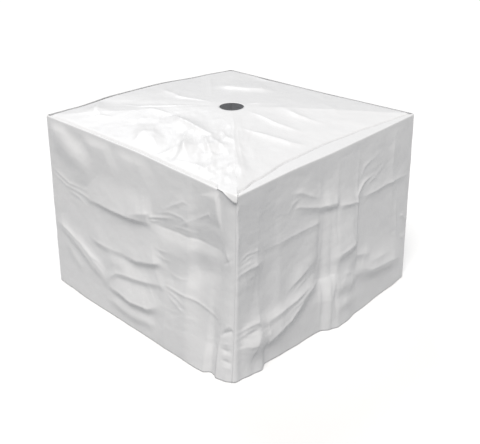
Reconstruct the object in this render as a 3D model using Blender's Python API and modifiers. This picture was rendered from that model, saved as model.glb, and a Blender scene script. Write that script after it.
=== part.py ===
"""Slip-over cover for a square concrete tent ballast block, in white coated cloth.

Five panels are joined with seams: a square top with a round hole in its middle, and
four walls that hang to the ground. The walls lap a little way on to the top, wrap round
the upright corners, and lean out to a wavy hem. Lengths are in metres and +Z is up. The
origin is the middle of the block's top face, which the cover's top lies on.

Each panel is an open sheet, bent into shape by a few short tables, and thickened inwards.
"""

import math
from collections import namedtuple

import bmesh
import bpy
from mathutils import Vector

MM = 0.001

# Driving sizes
WIDTH = 0.920          # across the cover at its top edges, both ways
HEIGHT = 0.650         # from the top edges to the hem
CLOTH = 0.0015         # thickness of the coated cloth
SEAM_GAP = 0.0003      # between two panels where they are joined
HOLE = 0.086           # across the round hole in the top
TOP_EDGE = 0.004       # radius with which the walls bend over the top edges
TENT = 0.041           # rise of the top from its edges to its middle
TENT_CURVE = 1.15      # 1 for straight sides, more for sides that bulge
CALM = 0.070           # folds of a wall fade out this far from its upright seams
FLARE_REACH = 0.200    # a corner's flare fades out this far from its seam
FLARE_FADE = 0.067     # the last part of that, in which it fades

# The near corner's ear: surplus cloth of the top that hangs over the wall
EAR_BEFORE = 0.090     # its reach along the left wall
EAR_AFTER = 0.024      # its reach along the front wall
EAR_DROP = 0.023       # how far its tip hangs below the top
EAR_PROUD = 0.009      # how far its tip stands out from the wall
EAR_LIFT = 0.003       # how far it passes above the walls' laps
EAR_RAMP = 0.060       # the lift starts this far before the ear
EAR_STARTS = 0.91      # share of the top's half width where the ear starts to reach out
EAR_HANGS = 0.985      # and where it starts to hang
EAR_OPENS = 0.2        # share of its reach in which it comes out over the edge
EAR_SAGS = 0.50        # and from which its edge hangs lower and lower

HALF = WIDTH / 2
BEND = TOP_EDGE * math.pi / 2

# The upright corners. Each has slack cloth at its top, which has slipped along X, Y and Z
# (mm). The wall that ends there takes its turn of the corner (degrees) with one radius,
# and the wall that starts there takes the rest with another (mm). Its foot stands out
# with the flare as the power of the way down.
Corner = namedtuple("Corner", "x y z turn end_radius start_radius flare")
CORNERS = {
    "back_left": Corner(-6, 6, 15, 45, 14, 14, 1),
    "front_left": Corner(2, -4, -12, 20, 110, 8, 3),
    "front_right": Corner(3, -3, 11, 45, 14, 14, 1),
    "back_right": Corner(4, 0, -6, 45, 14, 14, 1),
}

# A fold is a ridge (height over 0) or a trough along a line on its panel, in mm. It
# fades over one width on its left as the line runs (above) and another on its right
# (below). A point of a wall's line has its distance along the wall from the left-hand
# seam, its height over the ground and the fold's height there. A point of the top's
# line has its X, its Y and the fold's height.
Fold = namedtuple("Fold", "above below line")

LEFT_FOLDS = (
    Fold(70, 24, ((198, 407, 0), (266, 407, 6), (350, 411, 10), (452, 421, 14), (494, 423, 9),
                  (540, 431, 4), (554, 437, 0))),
    Fold(50, 24, ((440, 421, 0), (500, 449, 9), (536, 462, 9), (562, 466, 0))),
    Fold(46, 26, ((554, 433, 0), (612, 435, -7), (734, 445, -8), (866, 449, -6), (906, 451, 0))),
    Fold(56, 24, ((212, 262, 0), (282, 266, 6), (348, 264, 4), (410, 272, 6), (492, 276, 10),
                  (580, 302, 10), (612, 312, 0))),
    Fold(28, 40, ((0, 256, 0), (84, 242, 8), (162, 215, 13), (260, 165, 13), (308, 131, 6),
                  (326, 125, 0))),
    Fold(26, 26, ((298, 187, 0), (354, 223, 7), (414, 223, 6), (454, 201, 0))),
    Fold(30, 24, ((312, 137, 0), (376, 179, 6), (444, 195, 7), (522, 209, 6), (612, 231, 3),
                  (628, 237, 0))),
    Fold(56, 24, ((308, 115, 0), (374, 113, 12), (458, 111, 17), (538, 119, 15), (592, 147, 4),
                  (610, 167, 0))),
    Fold(24, 22, ((312, 60, 0), (380, 58, 7), (460, 56, 8), (550, 60, 6), (584, 72, 0))),
    Fold(64, 50, ((596, 248, 0), (650, 282, -12), (760, 340, -13), (858, 382, -7), (906, 396, 0))),
    Fold(70, 50, ((508, 634, 0), (554, 443, 1), (594, 306, 1), (618, 215, 3), (630, 62, 4),
                  (632, 0, 3))),
    Fold(50, 60, ((0, 632, 5), (88, 592, 14), (168, 553, 15), (210, 511, 9), (240, 479, 0))),
    Fold(26, 26, ((106, 642, 0), (150, 610, -6), (224, 582, -4), (270, 566, 0))),
    Fold(34, 70, ((206, 630, 0), (256, 602, 8), (316, 610, 6), (344, 632, 0))),
    Fold(34, 70, ((366, 632, 0), (422, 600, 6), (494, 602, 5), (528, 634, 0))),
    Fold(14, 50, ((830, 646, 0), (842, 632, 6), (848, 568, 5), (850, 525, 0))),
)

FRONT_FOLDS = (
    Fold(40, 24, ((50, 433, 0), (104, 431, 1), (240, 419, 1.6), (370, 427, 1.6), (392, 425, 0))),
    Fold(28, 60, ((0, 378, 0), (36, 388, 7), (86, 390, 7), (128, 376, 0))),
    Fold(36, 24, ((268, 517, 0), (312, 499, 2), (376, 477, 5), (412, 473, 10), (452, 469, 8),
                  (474, 467, 0))),
    Fold(36, 24, ((458, 463, 0), (492, 455, 5), (526, 449, 7), (568, 437, 5), (592, 427, 0))),
    Fold(30, 24, ((578, 449, 0), (656, 439, 2.5), (822, 439, 2.5), (906, 425, 0))),
    Fold(110, 26, ((436, 274, 0), (462, 277, 9), (506, 285, 12), (544, 293, 11), (574, 296, 0))),
    Fold(40, 40, ((352, 214, 0), (390, 208, -5), (436, 210, -6), (460, 212, 0))),
    Fold(26, 26, ((224, 231, 0), (288, 272, 6), (360, 308, 0))),
    Fold(70, 28, ((564, 187, 0), (598, 165, 8), (674, 141, 14), (814, 117, 12), (904, 91, 0))),
    Fold(24, 24, ((556, 241, 0), (586, 227, 4), (626, 217, 3), (668, 207, 0))),
    Fold(40, 30, ((448, 181, 0), (488, 165, 8), (540, 147, 9), (580, 129, 0))),
    Fold(26, 24, ((452, 74, 0), (504, 83, 6), (608, 54, 0))),
    Fold(26, 24, ((0, 172, 0), (52, 179, 6), (94, 181, 6), (136, 163, 5), (190, 173, 6),
                  (272, 189, 6), (334, 205, 3), (358, 213, 0))),
    Fold(64, 24, ((108, 99, 0), (142, 99, 12), (184, 109, 13), (242, 119, 12), (294, 151, 10),
                  (352, 198, 6), (388, 218, 0))),
    Fold(40, 50, ((0, 122, 0), (32, 121, 15), (78, 115, 16), (124, 81, 0))),
    Fold(90, 26, ((128, 400, 0), (128, 300, 2.5), (128, 200, 5), (128, 120, 8), (128, 86, 7),
                  (128, 50, 0))),
    Fold(24, 66, ((454, 217, 0), (442, 187, 10), (438, 123, 12), (444, 0, 2))),
    Fold(28, 50, ((360, 445, 0), (354, 388, 4), (348, 308, 5), (344, 246, 0))),
    Fold(24, 60, ((572, 443, 0), (566, 417, 6), (566, 320, 7), (560, 227, 5), (568, 189, 0))),
    Fold(30, 30, ((794, 636, 0), (790, 561, 4), (790, 423, 3), (792, 304, 0))),
)

RIGHT_FOLDS = (
    Fold(66, 26, ((30, 452, 0), (180, 430, 12), (420, 424, 16), (650, 438, 10), (880, 448, 0))),
    Fold(50, 32, ((60, 268, 0), (230, 236, 12), (470, 214, 15), (700, 240, 9), (860, 262, 0))),
    Fold(40, 40, ((250, 120, 0), (400, 92, 12), (560, 110, 12), (660, 150, 0))),
    Fold(70, 60, ((330, 640, 0), (320, 430, 5), (305, 60, 7), (300, 0, 6))),
    Fold(56, 70, ((640, 640, 0), (652, 330, 6), (664, 40, 6), (668, 0, 5))),
    Fold(36, 36, ((20, 640, 0), (120, 556, 9), (210, 490, 0))),
    Fold(36, 36, ((900, 640, 0), (820, 566, 9), (730, 510, 0))),
)

BACK_FOLDS = (
    Fold(60, 26, ((30, 446, 0), (240, 422, 13), (500, 430, 14), (740, 418, 12), (890, 440, 0))),
    Fold(46, 34, ((120, 250, 0), (330, 216, 13), (560, 230, 11), (820, 206, 0))),
    Fold(36, 44, ((380, 104, 0), (520, 84, 12), (680, 96, 11), (800, 140, 0))),
    Fold(60, 60, ((300, 640, 0), (310, 330, 6), (322, 20, 7), (323, 0, 6))),
    Fold(60, 54, ((610, 640, 0), (602, 330, 5), (590, 0, 6))),
    Fold(40, 36, ((20, 640, 0), (110, 570, 8), (190, 500, 0))),
)

TOP_FOLDS = (
    Fold(50, 60, ((-64, -64, 0), (-133, -134, 2), (-259, -274, 3), (-410, -436, 0))),
    Fold(24, 24, ((-260, -247, 0), (-317, -343, 4), (-362, -406, 0))),
    Fold(30, 30, ((-197, 102, 0), (-206, 39, 6), (-221, -57, 8), (-224, -142, 0))),
    Fold(34, 34, ((-288, 119, 0), (-346, 60, 8), (-399, 1, 0))),
    Fold(34, 34, ((-312, 74, 0), (-362, 4, 7), (-407, -77, 0))),
    Fold(30, 30, ((-251, -61, 0), (-328, -129, 8), (-404, -212, 0))),
    Fold(30, 30, ((-221, -107, 0), (-277, -187, 8), (-332, -262, 0))),
    Fold(40, 50, ((-236, 422, 0), (-318, 354, 6), (-360, 333, 0))),
    Fold(90, 34, ((190, 270, 0), (204, 203, 10), (268, 97, 9), (312, 70, 0))),
    Fold(120, 70, ((380, 350, 0), (404, 240, -6), (372, 100, 0))),
    Fold(24, 24, ((20, -56, 0), (17, -205, 2.5), (31, -327, 0))),
    Fold(24, 24, ((136, -88, 0), (119, -205, 2.5), (144, -331, 0))),
    Fold(24, 24, ((-98, -198, 0), (-68, -328, 2.5), (-31, -378, 0))),
    Fold(24, 24, ((-13, 85, 0), (-28, 244, 3), (23, 398, 0))),
)

# A wall runs from its left-hand seam, seen from outside. Its tables are short rows of
# a distance along it and a size, in mm: how far the hem stands out, how far the wall laps
# on to the top, how far its top edge bows out and how far the edge is lifted.
Wall = namedtuple("Wall", "name start end along outward cells hem lap bow lift folds")

WALLS = (
    Wall("wall_left", "back_left", "front_left", Vector((0, -1, 0)), Vector((-1, 0, 0)),
         (20, 22),
         ((0, 24), (60, 27), (180, 34), (460, 39), (620, 40), (780, 46), (814, 44),
          (841, 26), (855, 28), (872, 34), (900, 32), (920, 26)),
         ((0, 1), (460, 4), (920, 1)),
         ((0, 0), (300, -9), (480, -13), (700, -6), (920, 0)),
         ((0, 0), (920, 0)), LEFT_FOLDS),
    Wall("wall_front", "front_left", "front_right", Vector((1, 0, 0)), Vector((0, -1, 0)),
         (21, 22),
         ((0, 26), (13, 15), (56, 23), (96, 30), (130, 13), (210, 17), (300, 21), (396, 23),
          (432, 43), (466, 57), (508, 56), (590, 44), (806, 32), (920, 22)),
         ((0, 1), (34, 7), (120, 24), (305, 48), (460, 58), (634, 45), (746, 30), (860, 15),
          (890, 8), (920, 1)),
         ((0, 0), (250, -4), (460, 3), (700, 2), (920, 0)),
         ((0, 0), (920, 0)), FRONT_FOLDS),
    Wall("wall_right", "front_right", "back_right", Vector((0, 1, 0)), Vector((1, 0, 0)),
         (14, 12),
         ((0, 22), (90, 28), (240, 34), (330, 46), (450, 38), (640, 45), (800, 34), (920, 22)),
         ((0, 1), (460, 5), (920, 1)),
         ((0, 0), (460, -5), (920, 0)),
         ((0, 0), (920, 0)), RIGHT_FOLDS),
    Wall("wall_back", "back_right", "back_left", Vector((-1, 0, 0)), Vector((0, 1, 0)),
         (14, 12),
         ((0, 22), (100, 27), (310, 44), (460, 36), (600, 43), (780, 30), (920, 24)),
         ((0, 1), (460, 5), (920, 1)),
         ((0, 0), (460, 6), (920, 0)),
         ((0, 0), (180, 6), (420, 15), (620, 13), (800, 2), (920, 0)), BACK_FOLDS),
)

# The top is a fan of lines from the hole's rim, one to each column of the walls, and its
# points stand at these shares of a line's length.
TOP_RINGS = (0.0, 0.12, 0.27, 0.43, 0.58, 0.72, 0.84, 0.91, 0.95, 0.985, 1.0)
CORNER_COLUMNS = (0.005, 0.010, 0.015, 0.040)  # distances from an upright seam
EAR_COLUMNS = (0.0045, 0.009, 0.0135, 0.028, 0.046, 0.064, 0.078, 0.090, 0.114, 0.146)


def smooth(value):
    """Ease a value that runs from 0 to 1."""
    value = min(max(value, 0.0), 1.0)
    return value * value * (3 - 2 * value)


def read_table(rows, along):
    """Size in metres at a distance along a wall, from its short table in mm."""
    place = along / MM
    for (start, low), (end, high) in zip(rows, rows[1:]):
        if place <= end:
            share = smooth((place - start) / (end - start))
            return (low + (high - low) * share) * MM
    return rows[-1][1] * MM


def fold_height(folds, first, second):
    """Sum of a panel's folds at a point of it, in metres. The point is given in mm."""
    total = 0.0
    for fold in folds:
        nearest = None
        for (a1, a2, a_high), (b1, b2, b_high) in zip(fold.line, fold.line[1:]):
            run1, run2 = b1 - a1, b2 - a2
            off1, off2 = first - a1, second - a2
            length_squared = run1 * run1 + run2 * run2
            share = min(max((off1 * run1 + off2 * run2) / length_squared, 0.0), 1.0)
            distance = math.hypot(off1 - share * run1, off2 - share * run2)
            if nearest is None or distance < nearest[0]:
                side = run1 * off2 - run2 * off1
                nearest = (distance, side, a_high + (b_high - a_high) * share)
        distance, side, height = nearest
        width = fold.above if side > 0 else fold.below
        total += height * math.exp(-(distance / width) ** 2)
    return total * MM


def slip_at(wall, along):
    """Slip of the top edge, between its two corners."""
    start, end = CORNERS[wall.start], CORNERS[wall.end]
    share = along / WIDTH
    return Vector([(a + (b - a) * share) * MM for a, b in zip(start[:3], end[:3])])


def bend(turn, radius, other_radius):
    """A wall's turn at a corner, its radius, and how far from the corner it starts."""
    turn = math.radians(turn)
    reach = radius * math.sin(turn) + other_radius * (1 - math.sin(turn))
    return turn, radius * MM, reach * MM


def bends(wall):
    """The bends of a wall at its start and at its end."""
    start, end = CORNERS[wall.start], CORNERS[wall.end]
    return (bend(90 - start.turn, start.start_radius, start.end_radius),
            bend(end.turn, end.end_radius, end.start_radius))


def plan(wall, along):
    """Point of the cover's square outline, and the direction out of it there."""
    (first_turn, first_radius, first_reach), (last_turn, last_radius, last_reach) = bends(wall)
    if along < first_reach:
        angle = -first_turn * (1 - along / first_reach)
        centre, radius = first_reach, first_radius
    elif along > WIDTH - last_reach:
        angle = last_turn * (1 - (WIDTH - along) / last_reach)
        centre, radius = WIDTH - last_reach, last_radius
    else:
        angle, centre, radius = 0.0, along, 0.0
    out = wall.outward * math.cos(angle) + wall.along * math.sin(angle)
    middle = wall.along * (centre - HALF) + wall.outward * (HALF - radius)
    return middle + out * radius, out


def wall_point(wall, along, down):
    """Point of a wall. Down is under 0 on its lap, and 0 to 1 from the top edge to the hem."""
    point, out = plan(wall, along)
    slip = slip_at(wall, along)
    bow = read_table(wall.bow, along)
    lift = read_table(wall.lift, along)
    if down <= 0:
        lap = -down * read_table(wall.lap, along)
        return point + slip + out * (bow - TOP_EDGE - lap) + Vector((0, 0, lift))
    bend_share = BEND / HEIGHT
    if down < bend_share:
        angle = down / bend_share * math.pi / 2
        sideways = TOP_EDGE * (math.sin(angle) - 1)
        drop = TOP_EDGE * (1 - math.cos(angle))
        return point + slip + out * (bow + sideways) + Vector((0, 0, lift - drop))
    share = (down - bend_share) / (1 - bend_share)
    start, end = CORNERS[wall.start], CORNERS[wall.end]
    flare = 1 + (start.flare - 1) * smooth((FLARE_REACH - along) / FLARE_FADE)
    flare += (end.flare - 1) * smooth((FLARE_REACH - WIDTH + along) / FLARE_FADE)
    above_ground = (1 - share) * (HEIGHT - TOP_EDGE)
    calm = smooth(min(along, WIDTH - along) / CALM) * smooth(share * HEIGHT / CALM)
    fold = fold_height(wall.folds, along / MM, above_ground / MM) * calm
    stand = bow * (1 - share) + read_table(wall.hem, along) * share ** flare + fold
    held = slip * (1 - share) + Vector((0, 0, lift * (1 - share)))
    return point + held + out * stand + Vector((0, 0, above_ground - HEIGHT))


def ear_shares(wall, along):
    """The near corner's ear at a place: its share of the full ear, and of its lift."""
    if wall.end == "front_left":
        from_tip, reach = WIDTH - along, EAR_BEFORE
    elif wall.start == "front_left":
        from_tip, reach = along, EAR_AFTER
    else:
        return 0.0, 0.0
    return max(0.0, 1 - from_tip / reach), smooth(1 - (from_tip - reach) / EAR_RAMP)


def top_point(wall, along, share):
    """Point of the top, on the line from the hole's rim to its seam with a wall."""
    seam = wall_point(wall, along, -1.0)
    point, out = plan(wall, along)
    ear, ear_lift = ear_shares(wall, along)
    seam = seam - out * SEAM_GAP
    flat = Vector((seam.x, seam.y, 0))
    rim = flat.normalized() * HOLE / 2
    place = rim.lerp(flat, share)
    fade = smooth((1 - share) * 5)
    fold = fold_height(TOP_FOLDS, place.x / MM, place.y / MM) * fade
    place.z = seam.z * share + TENT * (1 - share ** TENT_CURVE) + fold
    place.z += EAR_LIFT * ear_lift * smooth((share - 0.75) / 0.15)
    if share > EAR_STARTS and ear > 0:
        lap = read_table(wall.lap, along) + TOP_EDGE
        reach = min(1.0, (share - EAR_STARTS) / (EAR_HANGS - EAR_STARTS))
        way = out if wall.end == "front_left" else flat.normalized()
        place += way * smooth(ear / EAR_OPENS) * (lap + EAR_PROUD * ear) * reach
        hang = max(0.0, (share - EAR_HANGS) / (1 - EAR_HANGS))
        place.z -= EAR_DROP * max(0.0, (ear - EAR_SAGS) / (1 - EAR_SAGS)) * hang
    return place


def sheet_object(name, bm, material):
    """Turn an open sheet into a closed solid of cloth, thickened inwards."""
    bmesh.ops.recalc_face_normals(bm, faces=bm.faces)
    mesh = bpy.data.meshes.new(name)
    bm.to_mesh(mesh)
    bm.free()
    mesh.shade_smooth()
    piece = bpy.data.objects.new(name, mesh)
    piece.data.materials.append(material)
    solid = piece.modifiers.new("cloth", "SOLIDIFY")
    solid.thickness = CLOTH
    solid.offset = -1.0
    solid.use_even_offset = False
    return piece


def make_wall(wall, material):
    """One wall, from its lap on the top to its hem."""
    places = column_places(wall)
    (first_turn, first_radius, first_reach), (last_turn, last_radius, last_reach) = bends(wall)
    first_inside = first_radius - TOP_EDGE - read_table(wall.lap, 0.0)
    last_inside = last_radius - TOP_EDGE - read_table(wall.lap, WIDTH)
    places[0] = SEAM_GAP * first_reach / (first_turn * first_inside)
    places[-1] = WIDTH - SEAM_GAP * last_reach / (last_turn * last_inside)
    columns, rows = len(places) - 1, wall.cells[1]
    bend_share = BEND / HEIGHT
    downs = [-1.0, -0.5, 0.0, bend_share / 2, bend_share]
    downs += [bend_share + (1 - bend_share) * (row + 1) / rows for row in range(rows)]
    bm = bmesh.new()
    bmesh.ops.create_grid(bm, x_segments=columns, y_segments=len(downs) - 1, size=0.5)
    for vert in bm.verts:
        column = round((vert.co.x + 0.5) * columns)
        row = round((0.5 - vert.co.y) * (len(downs) - 1))
        vert.co = wall_point(wall, places[column], downs[row])
    return sheet_object(wall.name, bm, material)


def column_places(wall):
    """Distances of a wall's columns along it, closer together by its seams."""
    first = EAR_COLUMNS if wall.start == "front_left" else CORNER_COLUMNS
    last = EAR_COLUMNS if wall.end == "front_left" else CORNER_COLUMNS
    count = wall.cells[0]
    run = WIDTH - first[-1] - last[-1]
    even = [first[-1] + run * n / count for n in range(1, count)]
    return [0.0, *first, *even, *(WIDTH - place for place in reversed(last)), WIDTH]


def make_top(material):
    """The square top, on lines from the rim of its hole to its seams."""
    ends = [(wall, place) for wall in WALLS for place in column_places(wall)[:-1]]
    spokes = len(ends)
    rings = len(TOP_RINGS) - 1
    bm = bmesh.new()
    bmesh.ops.create_grid(bm, x_segments=spokes, y_segments=rings, size=0.5)
    for vert in bm.verts:
        spoke = round((vert.co.x + 0.5) * spokes) % spokes
        ring = round((vert.co.y + 0.5) * rings)
        vert.co = top_point(*ends[spoke], TOP_RINGS[ring])
    bmesh.ops.remove_doubles(bm, verts=bm.verts, dist=MM / 100)
    return sheet_object("top_panel", bm, material)


def cloth_material(name, colour):
    """White coated cloth with a low sheen."""
    material = bpy.data.materials.new(name)
    material.use_nodes = True
    shader = material.node_tree.nodes["Principled BSDF"]
    shader.inputs["Base Color"].default_value = (*colour, 1)
    shader.inputs["Roughness"].default_value = 0.42
    shader.inputs["Metallic"].default_value = 0.0
    return material


def main():
    for old in list(bpy.data.objects):
        bpy.data.objects.remove(old)
    parts = bpy.data.collections.new("tent_ballast_block_cover")
    bpy.context.scene.collection.children.link(parts)
    parts.objects.link(make_top(cloth_material("top_cloth", (0.86, 0.86, 0.85))))
    for wall in WALLS:
        material = cloth_material(wall.name + "_cloth", (0.84, 0.84, 0.84))
        parts.objects.link(make_wall(wall, material))


main()
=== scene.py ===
"""Looks of a slip-over cover for a square tent ballast block, in white coated cloth.

The cover is a square top and four walls. Each is a thin sheet bent over short tables of
folds, much as its solid is, with the crisp storage creases, tucks and puckers of stiff
coated cloth added. Lengths are in metres, and the tables of folds are in millimetres.
"""

import math
from collections import namedtuple

import bmesh
import bpy
import numpy as np
from bpy.props import FloatProperty, FloatVectorProperty, PointerProperty
from mathutils import Matrix, Vector


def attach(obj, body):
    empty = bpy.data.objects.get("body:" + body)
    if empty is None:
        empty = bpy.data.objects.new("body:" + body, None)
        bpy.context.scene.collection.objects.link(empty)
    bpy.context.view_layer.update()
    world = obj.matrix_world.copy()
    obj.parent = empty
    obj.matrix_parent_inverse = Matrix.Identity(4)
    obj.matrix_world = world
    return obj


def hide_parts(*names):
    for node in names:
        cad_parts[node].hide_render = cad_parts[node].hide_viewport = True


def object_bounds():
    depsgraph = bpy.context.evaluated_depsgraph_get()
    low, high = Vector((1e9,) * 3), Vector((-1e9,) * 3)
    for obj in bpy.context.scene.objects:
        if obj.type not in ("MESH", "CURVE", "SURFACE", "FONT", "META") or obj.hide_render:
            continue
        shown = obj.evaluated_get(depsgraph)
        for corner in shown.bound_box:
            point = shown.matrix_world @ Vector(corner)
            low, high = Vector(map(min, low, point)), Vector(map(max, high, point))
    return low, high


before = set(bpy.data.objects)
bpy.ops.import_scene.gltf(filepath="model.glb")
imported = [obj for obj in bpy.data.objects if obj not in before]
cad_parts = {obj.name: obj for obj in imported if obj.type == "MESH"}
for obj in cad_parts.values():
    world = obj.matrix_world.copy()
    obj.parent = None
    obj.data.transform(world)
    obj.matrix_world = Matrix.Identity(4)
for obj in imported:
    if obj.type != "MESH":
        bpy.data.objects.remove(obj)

bl_info = {
    "name": "Ballast block cover",
    "version": (1, 0, 0),
    "blender": (4, 5, 0),
    "location": "3D View > Sidebar > Cover",
    "description": "Builds a creased white slip-over cover for a square tent ballast block",
    "category": "Object",
}

MM = 0.001
CAD_LOW, CAD_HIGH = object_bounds()

# Driving sizes, the same as the solids'
WIDTH = 0.920          # across the cover at its top edges, both ways
HEIGHT = 0.650         # from the top edges to the hem
HOLE = 0.086           # across the round hole in the top
TOP_EDGE = 0.004       # radius with which the walls bend over the top edges
TENT = 0.041           # rise of the top from its edges to its middle
TENT_CURVE = 1.15      # 1 for straight sides, more for sides that bulge
CALM = 0.070           # main folds of a wall fade out this far from its upright seams
FLARE_REACH = 0.200    # a corner's flare fades out this far from its seam
FLARE_FADE = 0.067     # the last part of that, in which it fades

# The near corner's ear: surplus cloth of the top that hangs over the wall
EAR_BEFORE = 0.090     # its reach along the left wall
EAR_AFTER = 0.024      # its reach along the front wall
EAR_DROP = 0.023       # how far its tip hangs below the top
EAR_PROUD = 0.009      # how far its tip stands out from the wall
EAR_LIFT = 0.003       # how far it passes above the walls' laps
EAR_RAMP = 0.060       # the lift starts this far before the ear
EAR_STARTS = 0.91      # share of the way from the hole where it starts to reach out
EAR_HANGS = 0.985      # and where it starts to hang
EAR_OPENS = 0.2        # share of its reach in which it comes out over the edge
EAR_SAGS = 0.50        # and from which its edge hangs lower and lower

HALF = WIDTH / 2
BEND = TOP_EDGE * math.pi / 2
BEND_SHARE = BEND / HEIGHT

# Sizes of the cloth alone
UNDERLAP = 0.004       # how far the top runs on under the walls' laps
SEAM_DIP = 0.0068      # and how far it dips there
TOP_CALM = 0.036       # main folds of a wall fade out this far from its top edge
CRISP_TOP_CALM = 0.03  # and its fine creases this far
CRISP_CALM = 0.006     # its fine creases fade out this far from its upright seams

# Where things happen on the way from the top's hole to its seams
MAIN_ENDS = 9          # main folds fade out in the last ninth of it
CRISP_ENDS = 12        # and fine creases in its first and its last twelfth
LIFT_STARTS = 0.75     # share of it at which the ear's lift comes in
LIFT_RUN = 0.15        # and the share that this takes
DIP_STARTS = 0.955     # share of it at which the cloth starts to dip under the laps
DIP_RUN = 0.035        # and the share that this takes

# Powers with which a fold's height fades over its width
SOFT_POWER = 2.0       # rounded
CRISP_POWER = 1.1      # with an edge

# Numbers of points, and how much closer together a wall's columns are at the near corner
BEND_ROWS = 4          # over the bend at a wall's top edge
TOP_COLUMNS = 132      # along each wall
TOP_INNER_RINGS = 66   # from the hole to the start of the ear
TOP_EDGE_RINGS = 22    # and from there to the seams
CROWDING = 0.12

# Seeds of the walls' and the top's noise, and the steps between those of its parts
WALL_SEED = 11
WALL_SEED_STEP = 20
TOP_SEED = 91
WANDER_SEED_STEP = 7
PUCKER_SEED_STEP = 40

# Noise: the numbers that turn a cell and a seed into a direction
CELL_WAVES = (127.1, 311.7)
SEED_WAVE = 74.7
WAVE_SCALE = 43758.5453

# Small unevenness of the cloth, in metres: its height and the size of its cells both ways
WANDER_CELL = 0.09     # for the stray of the folds
Ripple = namedtuple("Ripple", "height first second seed_step")
RIPPLES = (
    Ripple(0.0022, 0.16, 0.13, 3),
    Ripple(0.0011, 0.052, 0.045, 5),
    Ripple(0.0004, 0.024, 0.019, 9),
)

# Puckers: how much large and small ones cut into a patch, how many times smaller the
# small ones are along and across, and how far they are moved against the large ones
PUCKER_CUTS = (2.4, 1.0)
PUCKER_FINER = (2.1, 2.3)
PUCKER_SHIFT = (5, 9)

# The coating and the scrim under it. A noise has its scale and its detail.
COAT = 0.15
COAT_ROUGHNESS = 0.30
CLOTH_IOR = 1.46
BUMP_STRENGTH = 0.6
BUMP_DISTANCE = 0.001
MOTTLING = (6.0, 4.0)
RUBBING = (22.0, 3.0)
RUBBED_ROUGHNESS = (0.22, 0.30)  # how much the rubbing adds, and to what
THREAD_PITCH = 0.0013
THREAD_HEIGHT = 0.02   # threads and wrinkles are shares of the bump's distance
WRINKLES = (38.0, 4.0)
WRINKLE_HEIGHT = 1.7
SOCKETS = (
    ("Place", "INPUT", "Vector"),
    ("Threads", "INPUT", "Vector"),
    ("Cloth", "INPUT", "Color"),
    ("Shade", "INPUT", "Color"),
    ("Color", "OUTPUT", "Color"),
    ("Roughness", "OUTPUT", "Float"),
    ("Height", "OUTPUT", "Float"),
)

# The stage. A sun has its direction from the cover, strength, width (degrees) and tint.
FLOOR_ROUGHNESS = 0.9
FLOOR_SHINE = 0.1
SKY_STRENGTH = 0.30
Sun = namedtuple("Sun", "name way strength softness tint")
SUNS = (
    Sun("key", (-0.36, -0.27, 0.74), 2.58, 38, (1.0, 0.975, 0.945)),
    Sun("rim", (0.33, 0.62, 0.71), 0.60, 22, (0.92, 0.96, 1.0)),
)

# Camera, found from the corners of the cover in a picture of this width in pixels
PICTURE_WIDTH = 480
FOCAL_PIXELS = 783.0
SENSOR = 36.0
AZIMUTH = math.radians(-46.1)
ELEVATION = math.radians(26.5)
DISTANCE = 3.18 * WIDTH
AIM_RIGHT = 0.032 * WIDTH
AIM_UP = -0.087 * WIDTH

# The upright corners. Each has slack cloth at its top, which has slipped along X, Y and Z
# (mm). The wall that ends there takes its turn of the corner (degrees) with one radius,
# and the wall that starts there takes the rest with another (mm). Its foot stands out
# with the flare as the power of the way down.
Corner = namedtuple("Corner", "x y z turn end_radius start_radius flare")
CORNERS = {
    "back_left": Corner(-6, 6, 15, 45, 14, 14, 1),
    "front_left": Corner(2, -4, -12, 20, 110, 8, 3),
    "front_right": Corner(3, -3, 11, 45, 14, 14, 1),
    "back_right": Corner(4, 0, -6, 45, 14, 14, 1),
}

# A fold is a ridge (height over 0) or a trough along a line on its panel, in mm. It
# fades over one width on its left as the line runs (above) and another on its right
# (below). A crisp fold comes to an edge, and a soft one is rounded. A point of a wall's
# line has its distance along the wall, its height over the ground and the fold's height
# there. A point of the top's line has its X, its Y and the fold's height.
Fold = namedtuple("Fold", "above below line")

# A patch of puckers: its middle and reach on its panel, the puckers' depth and their
# length and width, and the way that they run, in mm and degrees
Patch = namedtuple("Patch", "first second reach depth long wide turn")

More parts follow.
